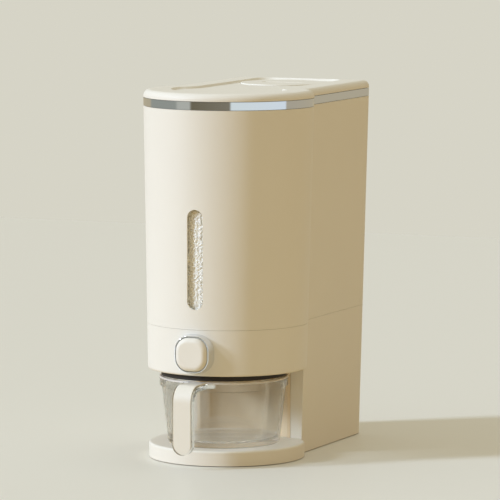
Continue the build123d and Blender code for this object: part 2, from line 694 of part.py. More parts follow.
# Slide gate: slotted plate, its tongue through the front wall, and the tab that the rod pushes
tab_rear = wall_front - SPRING_L
tab_front = tab_rear - TAB[1]
slot_y = CUP_Y - TRAVEL - GATE_FIT
gate_front = slot_y - OUTLET_L / 2 - GATE_LAP
gate_rear = CUP_Y + OUTLET_L / 2 + GATE_LAP
with BuildPart() as slide_gate:
    with BuildSketch(Plane.XY.offset(gate_z)):
        with Locations((0, gate_front)):
            Rectangle(2 * GATE_HALF, gate_rear - gate_front, align=(Align.CENTER, Align.MIN))
        with Locations((0, tab_rear)):
            Rectangle(2 * TONGUE_HALF, gate_front - tab_rear, align=(Align.CENTER, Align.MIN))
        with Locations((0, slot_y)):
            Rectangle(OUTLET_W, OUTLET_L, mode=Mode.SUBTRACT)
    extrude(amount=GATE_T)
    with BuildSketch(front_plane(tab_rear, BUTTON_Z)):
        Rectangle(TAB[0], TAB[2])
    extrude(amount=TAB[1])
finish(slide_gate, "slide_gate")


# Return springs: each one wound wire, on arcs of a quarter turn between points of a helix
def helix_point(centre_x, turn):
    """Point of a spring's middle line after a number of turns, and its direction there."""
    wire_l = SPRING_L - 2 * (WIRE_R + FIT)
    angle = 2 * pi * turn
    along = tab_rear + WIRE_R + FIT + wire_l * turn / SPRING_TURNS
    point = Vector(centre_x + SPRING_R * cos(angle), along, BUTTON_Z + SPRING_R * sin(angle))
    pitch = wire_l / SPRING_TURNS / (2 * pi)
    heading = Vector(-SPRING_R * sin(angle), pitch, SPRING_R * cos(angle)).normalized()
    return point, heading


def quarter_turn(centre_x, quarter):
    """Two arcs, tangent to each other and to the helix at both ends of a quarter turn."""
    start, leave = helix_point(centre_x, quarter / 4)
    end, arrive = helix_point(centre_x, (quarter + 1) / 4)
    chord = end - start
    square = 2 * (1 - leave.dot(arrive))
    middle = chord.dot(leave + arrive)
    reach = (sqrt(middle**2 + square * chord.dot(chord)) - middle) / square
    joint = (start + leave * reach + end - arrive * reach) * 0.5
    across = (end - arrive * reach) - (start + leave * reach)
    TangentArc(start, joint, tangent=leave)
    TangentArc(joint, end, tangent=across)


with BuildPart() as return_springs:
    for spring_x in (SPRING_X, -SPRING_X):
        with BuildLine() as wire:
            for quarter in range(4 * SPRING_TURNS):
                quarter_turn(spring_x, quarter)
        first, ahead = helix_point(spring_x, 0)
        with BuildSketch(Plane(origin=first, z_dir=ahead)):
            Circle(WIRE_R)
        sweep(path=wire.line)
finish(return_springs, "return_springs")
POINTS_PER_TURN = 24
middle_line = [helix_point(0, n / POINTS_PER_TURN)[0] for n in range(SPRING_TURNS * POINTS_PER_TURN + 1)]
turn_gap = min(
    (far - near).length - 2 * WIRE_R
    for start, near in enumerate(middle_line)
    for far in middle_line[start + POINTS_PER_TURN // 2 :]
)
print("least gap between the spring's turns", round(turn_gap, 2))

# Button: flared chrome bezel through the apron, cap that slides in it, and the rod to the gate
bezel_front = FRONT_Y - BEZEL_PROUD
flange_half = BEZEL / 2 + BEZEL_FLANGE
flange_y = FRONT_Y + FRONT - sqrt((FRONT - WALL) ** 2 - flange_half**2) + WALL / 2
skirt_rear = FRONT_Y + BEZEL_PROUD / 2


def bezel_section(y, spread):
    """Rounded square of the bezel at a place along Y, spread on all sides."""
    with BuildSketch(front_plane(y, BUTTON_Z)) as section:
        RectangleRounded(BEZEL + 2 * spread, BEZEL + 2 * spread, BEZEL_R + spread)
    return section.sketch


with BuildPart() as button_bezel:
    skirt_spread = (BEZEL_SKIRT - BEZEL) / 2
    loft([bezel_section(skirt_rear, skirt_spread), bezel_section(bezel_front, 0)], ruled=True)
    block(APRON_Z, SEAM_Z, -CONTACT, mode=Mode.SUBTRACT)
    extrude(bezel_section(flange_y + BEZEL_FLANGE_T, 0), amount=flange_y + BEZEL_FLANGE_T - bezel_front)
    fillet(button_bezel.edges().group_by(Axis.Y)[0], BEZEL_ROUND)
    with BuildSketch(front_plane(flange_y + BEZEL_FLANGE_T, BUTTON_Z)):
        Rectangle(2 * flange_half, BEZEL_FLANGE_H)
    extrude(amount=BEZEL_FLANGE_T)
    extrude(bezel_section(flange_y + BEZEL_FLANGE_T, -BEZEL_RING), amount=BEZEL, mode=Mode.SUBTRACT)
finish(button_bezel, "button_bezel")

cap_size = BEZEL - 2 * BEZEL_RING - 2 * CAP_GAP
cap_r = BEZEL_R - BEZEL_RING - CAP_GAP
cap_front = bezel_front - CAP_FRONT
cap_rear = cap_front + CAP_LENGTH
with BuildPart() as button_cap:
    with BuildSketch(front_plane(cap_rear, BUTTON_Z)):
        RectangleRounded(cap_size, cap_size, cap_r)
    extrude(amount=CAP_LENGTH)
    fillet(button_cap.edges().group_by(Axis.Y)[0], CAP_ROUND)
    with BuildSketch(front_plane(cap_rear, BUTTON_Z)):
        RectangleRounded(cap_size - 2 * CAP_WALL, cap_size - 2 * CAP_WALL, cap_r - CAP_WALL)
        Circle(ROD_R + BOSS_WALL, mode=Mode.SUBTRACT)
    extrude(amount=CAP_LENGTH - CAP_FACE_T, mode=Mode.SUBTRACT)
    with BuildSketch(front_plane(cap_rear, BUTTON_Z)):
        Circle(ROD_R + CONTACT)
    extrude(amount=ROD_SOCKET, mode=Mode.SUBTRACT)
finish(button_cap, "button_cap")

with BuildPart() as push_rod:
    with BuildSketch(front_plane(tab_front - CONTACT, BUTTON_Z)):
        Circle(ROD_R)
    extrude(amount=tab_front - CONTACT - (cap_rear - ROD_SOCKET + CONTACT))
finish(push_rod, "push_rod")

# Measuring cup: clear, with a thick floor, standing on the base
cup_low = BASE_TOP + FIT
with BuildPart() as measuring_cup:
    with BuildSketch(side_plane(0)) as cup_profile:
        with BuildLine():
            Polyline(
                (CUP_Y, cup_low),
                (CUP_Y + CUP_FOOT_R, cup_low),
                (CUP_Y + CUP_RIM_R - COLLAR_OUT, CUP_RIM_Z - COLLAR_H),
                (CUP_Y + CUP_RIM_R, CUP_RIM_Z - COLLAR_H),
                (CUP_Y + CUP_RIM_R, CUP_RIM_Z),
                (CUP_Y + CUP_RIM_R - COLLAR_OUT - CUP_WALL, CUP_RIM_Z),
                (CUP_Y + CUP_FOOT_R - CUP_WALL, cup_low + CUP_FLOOR),
                (CUP_Y, cup_low + CUP_FLOOR),
                close=True,
            )
        make_face()
        fillet(cup_profile.vertices().group_by(Axis.Y)[0].sort_by(Axis.X)[-1], CUP_FOOT_ROUND)
        fillet(cup_profile.vertices().group_by(Axis.Y)[-1], CUP_RIM_ROUND)
        on_floor = [v for v in cup_profile.vertices() if abs(v.Y - cup_low - CUP_FLOOR) < CONTACT]
        fillet(max(on_floor, key=lambda v: v.X), CUP_FOOT_ROUND - CUP_WALL)
    revolve(axis=Axis((0, CUP_Y, 0), (0, 0, 1)))
finish(measuring_cup, "measuring_cup")

# Handle: clear strap bent down from the rim, flared where it joins, with a cream inlay on it
strap_front = DRUM_Y - GRIP_REACH + INLAY_PROUD
arm_top = CUP_RIM_Z - ARM_DROP
arm_end = CUP_Y - CUP_FOOT_R


def strap_band(outer, thickness, low):
    """Side view of a band that follows the strap, its skin moved outwards by outer."""
    front = strap_front - outer
    top = arm_top + outer
    bend = STRAP_BEND + outer
    inner = bend - thickness
    with BuildSketch(side_plane(0)) as band:
        with BuildLine():
            Line((front, low), (front, top - bend))
            RadiusArc((front, top - bend), (front + bend, top), bend)
            Line((front + bend, top), (arm_end, top))
            Line((arm_end, top), (arm_end, top - thickness))
            Line((arm_end, top - thickness), (front + bend, top - thickness))
            RadiusArc((front + bend, top - thickness), (front + thickness, top - bend), -inner)
            Line((front + thickness, top - bend), (front + thickness, low))
            Line((front + thickness, low), (front, low))
        make_face()
    return band.sketch


def strap_face(half, low):
    """Front view of the strap: round lower end, open at the top."""
    with BuildSketch(front_plane(CUP_Y, 0)) as face:
        with Locations((0, low + half)):
            Circle(half)
            Rectangle(2 * half, CUP_RIM_Z, align=(Align.CENTER, Align.MIN))
    return face.sketch


def trim_to_rim(spread):
    """Cut away what reaches into the round of the rim, spread a little."""
    with BuildSketch(Plane.XY.offset(cup_low)) as rim_round:
        with Locations((0, CUP_Y)):
            Circle(CUP_RIM_R + spread)
    extrude(rim_round.sketch, amount=CUP_RIM_Z, mode=Mode.SUBTRACT)


flare_start = strap_front + STRAP_BEND
flare_end = CUP_Y - sqrt(CUP_RIM_R**2 - STRAP_FLARE**2)
inlay_low = STRAP_LOW + (STRAP_W - INLAY_W) / 2
with BuildPart() as inlay_pocket:
    extrude(strap_band(INLAY_PROUD, INLAY_T, 0), amount=INLAY_W, both=True)
    extrude(strap_face(INLAY_W / 2 + CONTACT, inlay_low - CONTACT), amount=GRIP_REACH, mode=Mode.INTERSECT)
with BuildPart() as handle_strap:
    extrude(strap_band(0, STRAP_T, STRAP_LOW), amount=STRAP_FLARE, both=True)
    with BuildSketch() as plan:
        with BuildLine():
            for sign in (1, -1):
                Line((0, strap_front), (sign * STRAP_W / 2, strap_front))
                Line((sign * STRAP_W / 2, strap_front), (sign * STRAP_W / 2, flare_start))
                Spline(
                    (sign * STRAP_W / 2, flare_start),
                    (sign * STRAP_FLARE, flare_end),
                    tangents=((0, 1), (sign, 1)),
                )
                Line((sign * STRAP_FLARE, flare_end), (sign * STRAP_FLARE, arm_end))
            Line((STRAP_FLARE, arm_end), (-STRAP_FLARE, arm_end))
        make_face()
    extrude(amount=HEIGHT, mode=Mode.INTERSECT)
    with BuildSketch(front_plane(CUP_Y, 0)):
        with Locations((0, STRAP_LOW + STRAP_W / 2)):
            Circle(STRAP_W / 2)
            Rectangle(2 * STRAP_FLARE, CUP_RIM_Z, align=(Align.CENTER, Align.MIN))
    extrude(amount=GRIP_REACH, mode=Mode.INTERSECT)
    add(inlay_pocket.part, mode=Mode.SUBTRACT)
    trim_to_rim(CONTACT)
finish(handle_strap, "handle_strap")

with BuildPart() as handle_inlay:
    extrude(strap_band(INLAY_PROUD, INLAY_T - CONTACT, 0), amount=INLAY_W, both=True)
    extrude(strap_face(INLAY_W / 2, inlay_low), amount=GRIP_REACH, mode=Mode.INTERSECT)
    trim_to_rim(INLAY_PROUD)
finish(handle_inlay, "handle_inlay")
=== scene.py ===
"""Looks of a countertop rice dispenser, dressed over its packed construction.

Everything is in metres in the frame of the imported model: +Z up, the front towards -Y.
"""
import json
import logging
import math
from dataclasses import dataclass
from enum import Enum
from random import Random

import bpy
from mathutils import Matrix, Vector


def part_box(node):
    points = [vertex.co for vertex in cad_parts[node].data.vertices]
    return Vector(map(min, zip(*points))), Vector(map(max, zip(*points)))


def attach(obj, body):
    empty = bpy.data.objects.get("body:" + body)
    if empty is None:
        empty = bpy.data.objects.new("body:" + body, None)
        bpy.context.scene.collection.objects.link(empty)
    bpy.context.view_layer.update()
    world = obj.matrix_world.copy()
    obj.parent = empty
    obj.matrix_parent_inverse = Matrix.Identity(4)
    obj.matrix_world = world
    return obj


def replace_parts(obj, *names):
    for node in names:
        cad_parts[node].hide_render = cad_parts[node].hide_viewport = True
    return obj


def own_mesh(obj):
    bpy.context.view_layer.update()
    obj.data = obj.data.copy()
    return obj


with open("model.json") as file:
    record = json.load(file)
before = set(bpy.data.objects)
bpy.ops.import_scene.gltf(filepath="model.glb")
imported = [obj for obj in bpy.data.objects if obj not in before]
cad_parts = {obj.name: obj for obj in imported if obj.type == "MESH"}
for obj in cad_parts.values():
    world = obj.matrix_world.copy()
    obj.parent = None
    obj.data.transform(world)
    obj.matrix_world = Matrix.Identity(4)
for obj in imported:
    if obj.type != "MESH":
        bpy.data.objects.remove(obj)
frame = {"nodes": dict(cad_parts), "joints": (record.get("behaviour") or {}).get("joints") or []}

LOG = logging.getLogger("rice_dispenser")
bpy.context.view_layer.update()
MM = 0.001

Colour = tuple[float, float, float]
Point = tuple[float, float, float]
Flat = tuple[float, float]
Face = tuple[int, ...]


class Signal:
    """A node's output that takes part in Python arithmetic by adding Math nodes."""

    def __init__(self, sheet: "ShaderSheet", socket: bpy.types.NodeSocket) -> None:
        """Remember the socket and the sheet that it is drawn on."""
        self.sheet = sheet
        self.socket = socket

    def __add__(self, other: "Signal | float") -> "Signal":
        """Sum of two values."""
        return self.sheet.math("ADD", self, other)

    __radd__ = __add__

    def __sub__(self, other: "Signal | float") -> "Signal":
        """Difference of two values."""
        return self.sheet.math("SUBTRACT", self, other)

    def __rsub__(self, other: float) -> "Signal":
        """Difference with the number first."""
        return self.sheet.math("SUBTRACT", other, self)

    def __mul__(self, other: "Signal | float") -> "Signal":
        """Product of two values."""
        return self.sheet.math("MULTIPLY", self, other)

    __rmul__ = __mul__


class NodeOutputs:
    """The outputs of one node, by name or number."""

    def __init__(self, sheet: "ShaderSheet", node: bpy.types.Node) -> None:
        """Remember the node and its sheet."""
        self.sheet = sheet
        self.node = node

    def __getitem__(self, name: str | int) -> Signal:
        """The output of that name or number, as a signal."""
        return Signal(self.sheet, self.node.outputs[name])


class ShaderSheet:
    """A node tree that is written as Python expressions."""

    # Numbers of the Mix node's colour sockets, which share their names with its other kinds
    MIX_SHARE = 0
    MIX_LOW = 6
    MIX_HIGH = 7
    MIX_RESULT = 2
    # Colour of the light that passes straight through clear plastic
    PASSING: Colour = (0.96, 0.96, 0.95)

    def __init__(self, tree: bpy.types.NodeTree) -> None:
        """Start on an emptied tree."""
        self.tree = tree
        self.tree.nodes.clear()

    def node(
        self,
        kind: str,
        settings: dict[str, object] | None = None,
        sockets: dict[str | int, object] | None = None,
    ) -> NodeOutputs:
        """Add one node.

        Args:
            kind: the node's type name.
            settings: attributes that are set first, and a ramp's "stops".
            sockets: values or signals for its inputs, by name or number.

        Returns:
            The node's outputs.
        """
        made = self.tree.nodes.new(kind)
        for name, value in (settings or {}).items():
            if name == "stops":
                self._set_stops(made.color_ramp, value)
            else:
                setattr(made, name, value)
        for name, value in (sockets or {}).items():
            target = made.inputs[name]
            if isinstance(value, Signal):
                self.tree.links.new(value.socket, target)
            else:
                target.default_value = value
        return NodeOutputs(self, made)

    @staticmethod
    def _set_stops(ramp: bpy.types.ColorRamp, stops: list[tuple[float, Colour]]) -> None:
        """Give a ramp its stops.

        Args:
            ramp: the ramp, which starts with two stops.
            stops: place and colour of each, in order.
        """
        while len(ramp.elements) < len(stops):
            ramp.elements.new(1.0)
        for element, (place, colour) in zip(ramp.elements, stops):
            element.position = place
            element.color = (*colour, 1.0)

    def math(self, operation: str, *values: Signal | float) -> Signal:
        """One Math node on signals and numbers."""
        sockets = dict(enumerate(values))
        return self.node("ShaderNodeMath", {"operation": operation}, sockets)["Value"]

    def place(self) -> Signal:
        """Position on the piece, in metres."""
        return self.node("ShaderNodeTexCoord")["Object"]

    def noise(self, size: float, detail: float = 2.0) -> Signal:
        """Soft noise whose features are about size metres across."""
        sockets = {"Vector": self.place(), "Scale": 1.0 / size, "Detail": detail}
        return self.node("ShaderNodeTexNoise", {}, sockets)["Fac"]

    def blend(self, share: Signal, low: Colour, high: Colour) -> Signal:
        """Colour between two colours by a share."""
        sockets = {self.MIX_SHARE: share, self.MIX_LOW: (*low, 1.0), self.MIX_HIGH: (*high, 1.0)}
        return self.node("ShaderNodeMix", {"data_type": "RGBA"}, sockets)[self.MIX_RESULT]

    def bump(self, height: Signal, depth: float) -> Signal:
        """Normal of a surface that is raised by height times depth metres."""
        sockets = {"Height": height, "Distance": depth, "Strength": 1.0}
        return self.node("ShaderNodeBump", {}, sockets)["Normal"]

    def mix(self, share: Signal, first: Signal, second: Signal) -> Signal:
        """Shader between two shaders by a share."""
        return self.node("ShaderNodeMixShader", {}, {0: share, 1: first, 2: second})["Shader"]

    def surface(self, sockets: dict[str, object], ghost: Signal | None = None) -> None:
        """Finish the sheet with one Principled surface.

        Args:
            sockets: values or signals for the Principled shader.
            ghost: share of the rays that pass straight through the surface.
        """
        shader = self.node("ShaderNodeBsdfPrincipled", {}, sockets)["BSDF"]
        if ghost is not None:
            passing = self.node("ShaderNodeBsdfTransparent", {}, {"Color": (*self.PASSING, 1.0)})
            shader = self.mix(ghost, shader, passing["BSDF"])
        self.node("ShaderNodeOutputMaterial", {}, {"Surface": shader})


def tinted(colour: Colour, share: float) -> Colour:
    """A colour made darker or paler by a share, up to white."""
    return tuple(min(1.0, part * share) for part in colour)


@dataclass(frozen=True)
class Finish:
    """A surface finish that becomes one material, made once."""

    name: str

    def paint(self, sheet: ShaderSheet) -> None:
        """Write the finish on a sheet; each kind of finish says how."""
        raise NotImplementedError

    def material(self) -> bpy.types.Material:
        """Make the finish's material, or find it again.

        Returns:
            The material.
        """
        made = bpy.data.materials.get(self.name)
        if made is None:
            made = bpy.data.materials.new(self.name)
            made.use_nodes = True
            self.paint(ShaderSheet(made.node_tree))
        return made


@dataclass(frozen=True)
class MouldedPlastic(Finish):
    """Opaque moulded plastic with a spark-eroded grain."""

    colour: Colour
    roughness: float = 0.5
    grain: float = 0.45 * MM
    depth: float = 0.006 * MM
    mottle: float = 0.015
    mottle_size: float = 60 * MM
    gloss_swing: float = 0.08
    gloss_size: float = 9 * MM
    specular: float = 0.4

    def paint(self, sheet: ShaderSheet) -> None:
        """One colour with a faint cloudiness, fine grain and uneven gloss.

        Args:
            sheet: the material's nodes.
        """
        cloud = sheet.noise(self.mottle_size)
        low = tinted(self.colour, 1.0 - self.mottle)
        high = tinted(self.colour, 1.0 + self.mottle)
        sheet.surface(
            {
                "Base Color": sheet.blend(cloud, low, high),
                "Roughness": self.roughness + self.gloss_swing * (sheet.noise(self.gloss_size) - 0.5),
                "Specular IOR Level": self.specular,
                "Normal": sheet.bump(sheet.noise(self.grain), self.depth),
            }
        )


@dataclass(frozen=True)
class Plating(Finish):
    """Bright metal plating or plain metal."""

    colour: Colour
    roughness: float
    ripple: float = 0.004 * MM
    ripple_size: float = 14 * MM
    wipe_swing: float = 0.03
    wipe_size: float = 5 * MM
    wipe_detail: float = 4.0

    def paint(self, sheet: ShaderSheet) -> None:
        """Metal with a slight ripple and faint wipe marks.

        Args:
            sheet: the material's nodes.
        """
        wipe = sheet.noise(self.wipe_size, self.wipe_detail)
        sheet.surface(
            {
                "Base Color": (*self.colour, 1.0),
                "Metallic": 1.0,
                "Roughness": self.roughness + self.wipe_swing * wipe,
                "Normal": sheet.bump(sheet.noise(self.ripple_size), self.ripple),
            }
        )


@dataclass(frozen=True)
class ClearPlastic(Finish):
    """Clear moulded plastic."""

    colour: Colour
    index: float = 1.33
    straight: float = 0.3
    flow_size: float = 18 * MM
    flow_depth: float = 0.004 * MM
    flow_gloss: float = 0.02

    def paint(self, sheet: ShaderSheet) -> None:
        """Clear, with faint flow lines from moulding; light falls through it to what is behind.

        Args:
            sheet: the material's nodes.
        """
        flow = sheet.noise(self.flow_size)
        path = sheet.node("ShaderNodeLightPath")
        sheet.surface(
            {
                "Base Color": (*self.colour, 1.0),
                "Roughness": self.flow_gloss * flow,
                "IOR": self.index,
                "Transmission Weight": 1.0,
                "Normal": sheet.bump(flow, self.flow_depth),
            },
            ghost=sheet.math("MAXIMUM", path["Is Shadow Ray"] + path["Is Diffuse Ray"], self.straight),
        )


@dataclass(frozen=True)
class SatinClear(Finish):
    """Clear plastic with a satin skin."""

    colour: Colour
    index: float = 1.45
    clearness: float = 0.35
    roughness: float = 0.3
    roughness_swing: float = 0.1
    haze_size: float = 3 * MM
    haze_depth: float = 0.003 * MM

    def paint(self, sheet: ShaderSheet) -> None:
        """Part clear and part milky, with a fine unevenness.

        Args:
            sheet: the material's nodes.
        """
        haze = sheet.noise(self.haze_size)
        sheet.surface(
            {
                "Base Color": (*self.colour, 1.0),
                "Roughness": self.roughness + self.roughness_swing * haze,
                "IOR": self.index,
                "Transmission Weight": self.clearness,
                "Normal": sheet.bump(haze, self.haze_depth),
            }
        )


@dataclass(frozen=True)
class SoftRubber(Finish):
    """Rubber or silicone."""

    colour: Colour
    roughness: float = 0.75
    dust_dark: float = 0.9
    dust_pale: float = 1.15
    dust_swing: float = 0.1
    dust_size: float = 4 * MM
    dust_detail: float = 4.0
    skin_size: float = 0.6 * MM
    skin_depth: float = 0.02 * MM

    def paint(self, sheet: ShaderSheet) -> None:
        """Dull, with a dusty unevenness.

        Args:
            sheet: the material's nodes.
        """
        dust = sheet.noise(self.dust_size, self.dust_detail)
        low = tinted(self.colour, self.dust_dark)
        high = tinted(self.colour, self.dust_pale)
        sheet.surface(
            {
                "Base Color": sheet.blend(dust, low, high),
                "Roughness": self.roughness + self.dust_swing * (dust - 0.5),
                "Normal": sheet.bump(sheet.noise(self.skin_size), self.skin_depth),
            }
        )


@dataclass(frozen=True)
class Worktop(Finish):
    """Plain pale floor, which throws less light back than it shows."""

    colour: Colour
    bounce: Colour
    roughness: float = 0.45

    def paint(self, sheet: ShaderSheet) -> None:
        """Pale and dull where it is seen, darker for the light that it throws back.

        Args:
            sheet: the material's nodes.
        """
        seen = 1.0 - sheet.node("ShaderNodeLightPath")["Is Diffuse Ray"]
        shown = sheet.blend(seen, self.bounce, self.colour)
        sheet.surface({"Base Color": shown, "Roughness": self.roughness})


@dataclass(frozen=True)
class Grain(Finish):
    """Polished white rice."""

    colour: Colour
    chalk: Colour
    chalk_size: float = 3.5 * MM
    polish: float = 0.45
    polish_swing: float = 0.2
    glow: float = 0.15
    glow_colour: Colour = (1.0, 0.9, 0.8)
    glow_depth: float = 0.6 * MM
    skin_size: float = 0.8 * MM
    skin_depth: float = 0.03 * MM

    def paint(self, sheet: ShaderSheet) -> None:
        """Pearly, with chalky grains among the clearer ones.

        Args:
            sheet: the material's nodes.
        """
        cloud = sheet.noise(self.chalk_size)
        sheet.surface(
            {
                "Base Color": sheet.blend(cloud, self.colour, self.chalk),
                "Roughness": self.polish + self.polish_swing * cloud,
                "Subsurface Weight": self.glow,
                "Subsurface Radius": self.glow_colour,
                "Subsurface Scale": self.glow_depth,
                "Normal": sheet.bump(sheet.noise(self.skin_size), self.skin_depth),
            }
        )


CREAM_COLOUR: Colour = (0.84, 0.80, 0.695)


class Finishes(Enum):
    """The finishes of the dispenser, each with the record's slot."""

    CREAM = (MouldedPlastic("cream_plastic", CREAM_COLOUR), "cream")
    INLAY = (MouldedPlastic("inlay_plastic", CREAM_COLOUR, roughness=0.36, depth=0.001 * MM), "inlay")
    # Darker and warmer than the cream: painted shade of the bay under the drum, whose wall is the same
    # cream plastic
    BAY_PAINTED_SHADE = (MouldedPlastic("bay_plastic_painted_shade", (0.84, 0.69, 0.47), roughness=0.42), "bay")
    NATURAL = (MouldedPlastic("natural_plastic", (0.86, 0.86, 0.83), roughness=0.4), "natural")
    CHROME = (Plating("chrome_plating", (0.80, 0.81, 0.82), roughness=0.03), "chrome")
    STEEL = (
        Plating("drawn_steel", (0.56, 0.56, 0.57), roughness=0.3, ripple=0.01 * MM, ripple_size=0.8 * MM),
        "steel",
    )
    CLEAR = (ClearPlastic("clear_plastic", (0.98, 0.985, 0.98)), "clear")
    HANDLE = (ClearPlastic("clear_handle", (0.97, 0.975, 0.965), straight=0.15), "clear")
    LENS = (ClearPlastic("clear_lens", (0.99, 0.99, 0.985), straight=0.45), "clear")
    RIM = (SatinClear("satin_rim", (0.95, 0.90, 0.82)), "clear")
    SILICONE = (SoftRubber("pale_silicone", (0.72, 0.72, 0.68), roughness=0.5), "silicone")
    RUBBER = (SoftRubber("foot_rubber", (0.035, 0.035, 0.035)), "rubber")
    # Near-black brown: painted shade, a dark ring standing in for the deep shade in the gap under the apron
    # above the cup
    GUARD_PAINTED_SHADE = (SoftRubber("guard_rubber_painted_shade", (0.026, 0.019, 0.012)), "rubber")
    RICE = (Grain("white_rice", (0.97, 0.94, 0.86), (0.99, 0.97, 0.92)), "natural")

    @property
    def finish(self) -> Finish:
        """How it looks."""
        return self.value[0]

    @property
    def slot(self) -> str:
        """The record's slot that it belongs to."""
        return self.value[1]


def dress(piece: bpy.types.Object, finish: Finishes) -> None:
    """Give a piece one finish all over.

    Args:
        piece: the piece.
        finish: how it looks.
    """
    piece.data.materials.clear()
    piece.data.materials.append(finish.finish.material())
    LOG.info("%s: %s", piece.name, finish.finish.name)


class Assembly:
    """Pieces of the construction that belong together."""

    EDGE_SEGMENTS = 2
    EDGE_DEGREES = 40.0

    def coat(self, finish: Finishes, *nodes: str) -> None:
        """Give some of the construction's nodes one finish."""
        for node in nodes:
            dress(frame["nodes"][node], finish)

    def soften(self, node: str, width: float) -> None:
        """Take the sharpness off a node's moulded edges.

        Args:
            node: the node's name.
            width: how wide the softened edge is.
        """
        edges = frame["nodes"][node].modifiers.new("soft_edges", "BEVEL")
        edges.width = width
        edges.segments = self.EDGE_SEGMENTS
        edges.limit_method = "ANGLE"
        edges.angle_limit = math.radians(self.EDGE_DEGREES)


@dataclass
class Housing(Assembly):
    """Base, bay, shells, window, hopper and gate housing, which stand still."""

    def dress(self) -> None:
        """Give each fixed piece its finish."""
        self.coat(Finishes.CREAM, "base_tray", "lower_shell", "upper_shell")
        # The bay liner's finish is the cream made darker and warmer: painted shade of the bay
        self.coat(Finishes.BAY_PAINTED_SHADE, "bay_liner")
        self.coat(Finishes.CHROME, "trim_ring")
        self.coat(Finishes.LENS, "window_lens")
        self.coat(Finishes.NATURAL, "hopper_funnel", "gate_housing", "chute")
        self.coat(Finishes.SILICONE, "window_gasket")
        self.coat(Finishes.RUBBER, "base_feet")
        # The spill guard's near-black colour is painted shade of the gap under the apron
        self.coat(Finishes.GUARD_PAINTED_SHADE, "spill_guard")
        self.coat(Finishes.STEEL, "hinge_pin", "base_screws")


@dataclass
class Lid(Assembly):
    """Hinged lid with its seal, and the desiccant basket with its cap."""

    def dress(self) -> None:
        """Give the lid and what it carries their finishes."""
        self.coat(Finishes.CREAM, "lid_cover", "desiccant_cap")
        self.coat(Finishes.NATURAL, "lid_liner", "desiccant_basket")
        self.coat(Finishes.SILICONE, "lid_seal")


class Skin:
    """Points and faces of a piece while it is built."""

    SHARP_DEGREES = 40.0

    def __init__(self) -> None:
        """Start with nothing."""
        self.points: list[Vector] = []
        self.faces: list[Face] = []

    def add(self, points: list[Vector], faces: list[Face]) -> None:
        """Add points, and faces that count from the first of them.

        Args:
            points: the new points.
            faces: each face's corners, by number among the new points.
        """
        first = len(self.points)
        self.points.extend(points)
        self.faces.extend(tuple(first + n for n in face) for face in faces)

    def loft(self, rings: list[list[Vector]], close_ends: bool = True) -> None:
        """Skin closed rings of equal length, in order.

        Args:
            rings: the rings, each the same way round.
            close_ends: whether the first and the last ring get a face.
        """
        count = len(rings[0])
        faces = [
            (row * count + n, row * count + (n + 1) % count,
             (row + 1) * count + (n + 1) % count, (row + 1) * count + n)
            for row in range(len(rings) - 1)
            for n in range(count)
        ]
        if close_ends:
            last = (len(rings) - 1) * count
            faces.append(tuple(reversed(range(count))))
            faces.append(tuple(range(last, last + count)))
        self.add([point for ring in rings for point in ring], faces)

    def turn(self, middle: Vector, profile: list[Flat], around: int) -> None:
        """Turn a profile round an upright axis; its ends lie on the axis.

        Args:
            middle: where the axis stands.
            profile: radius and level of each point.
            around: number of steps round the axis.
        """
        first, *inner, last = profile
        points = [middle + Vector((0.0, 0.0, first[1])), middle + Vector((0.0, 0.0, last[1]))]
        poles = len(points)
        for r, z in inner:
            for n in range(around):
                angle = math.tau * n / around
                points.append(middle + Vector((r * math.cos(angle), r * math.sin(angle), z)))
        faces: list[Face] = []
        for n in range(around):
            after = (n + 1) % around
            faces.append((0, poles + after, poles + n))
            for row in range(len(inner) - 1):
                low = poles + row * around
                faces.append((low + n, low + after, low + around + after, low + around + n))
            top = poles + (len(inner) - 1) * around
            faces.append((top + n, top + after, 1))
        self.add(points, faces)

    def piece(self, name: str, body: str, finish: Finishes) -> bpy.types.Object:
        """Turn the skin into a dressed piece that rides on a body.

        Args:
            name: the piece's name.
            body: the body that it moves with.
            finish: how it looks.

        Returns:
            The piece.
        """
        data = bpy.data.meshes.new(name)
        data.from_pydata(self.points, [], self.faces)
        data.polygons.foreach_set("use_smooth", [True] * len(data.polygons))
        data.set_sharp_from_angle(angle=math.radians(self.SHARP_DEGREES))
        made = bpy.data.objects.new(name, data)
        bpy.context.scene.collection.objects.link(made)
        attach(made, body)
        dress(made, finish)
        return made


